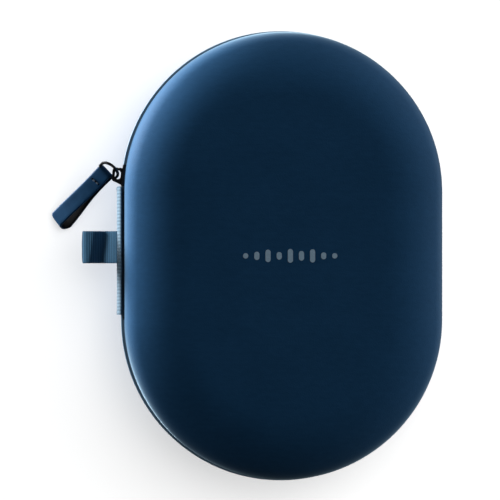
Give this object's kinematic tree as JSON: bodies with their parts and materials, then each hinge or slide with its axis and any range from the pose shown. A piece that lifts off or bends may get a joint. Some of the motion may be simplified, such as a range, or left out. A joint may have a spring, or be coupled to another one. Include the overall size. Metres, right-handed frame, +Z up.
{
  "type": "headphone carrying case",
  "caption": "Oval zipped clamshell case for over-ear headphones, with moulded halves, side hinge, webbing loop and a strap zip pull.",
  "frame": {"origin": "centre of the base's flat underside, on the surface that the case lies on", "axes": "+Z up through the lid, +Y along the case's length, +X across it, with the hinge, the webbing loop and the parked zip pull on the -X side"},
  "size_m": [0.18, 0.211, 0.0568],
  "materials": {
    "navy_cover": "soft-touch coated fabric, satin",
    "eva_foam": "closed-cell foam, matt",
    "lining": "brushed knit, matt",
    "navy_binding": "woven binding, slight sheen",
    "zip_tape": "woven tape, matt",
    "zip_coil": "nylon coil",
    "black_metal": "black lacquer, satin",
    "hinge_weave": "ribbed woven tape",
    "thread": "bonded thread",
    "webbing": "ribbed grosgrain webbing",
    "strap_leather": "smooth leather look, dark edges",
    "mesh": "knitted mesh",
    "elastic": "ribbed elastic",
    "mark_ink": "printed ink, satin"
  },
  "bodies": {
    "base": {"base_cover": "navy_cover", "base_core": "eva_foam", "base_lining": "lining", "base_lip_binding": "navy_binding", "zip_tape_base": "zip_tape", "zip_coil_base": "zip_coil", "zip_end_stops": "black_metal", "hinge_tape": "hinge_weave", "hinge_inner_strip": "lining", "hinge_bar_tacks": "thread", "cable_island": "lining"},
    "lid": {"lid_cover": "navy_cover", "lid_core": "eva_foam", "lid_lining": "lining", "lid_lip_binding": "navy_cover", "zip_tape_lid": "zip_tape", "zip_coil_lid": "zip_coil", "lid_pocket_mesh": "mesh", "pocket_elastic": "elastic", "lid_mark": "mark_ink"},
    "loop": {"webbing_loop": "webbing", "loop_stitches": "thread"},
    "slider": {"slider_body": "black_metal", "slider_bridge": "black_metal"},
    "ring": {"pull_ring": "black_metal"},
    "strap": {"pull_strap": "strap_leather", "strap_stitches": "thread"}
  },
  "joints": [
    {"name": "lid_hinge", "type": "hinge", "parent": "base", "child": "lid", "pos_m": [-0.0784, 0, 0.029], "axis": [0, -1, 0], "range_deg": [0, 120], "deforming": ["hinge_tape", "hinge_inner_strip", "hinge_bar_tacks", "zip_tape_lid", "zip_coil_lid"]},
    {"name": "loop_fold", "type": "hinge", "parent": "base", "child": "loop", "pos_m": [-0.0784, 0, 0.029], "axis": [0, -1, 0], "range_deg": [0, 60]},
    {"name": "zip_travel", "type": "hinge", "parent": "base", "child": "slider", "pos_m": [0, 0.03, 0.029], "axis": [0, 0, -1], "range_deg": [0, 168]},
    {"name": "ring_swing", "type": "hinge", "parent": "slider", "child": "ring", "pos_m": [-0.07775, 0.0379, 0.029], "axis": [0, 0, 1], "range_deg": [-36, 4]},
    {"name": "strap_flap", "type": "hinge", "parent": "ring", "child": "strap", "pos_m": [-0.08252, 0.03892, 0.02463], "axis": [-0.7604, 0.6494, 0], "range_deg": [-40, 26]}
  ],
  "couplings": [
    {"joint": "loop_fold", "follows": "lid_hinge", "ratio": 0.5}
  ]
}
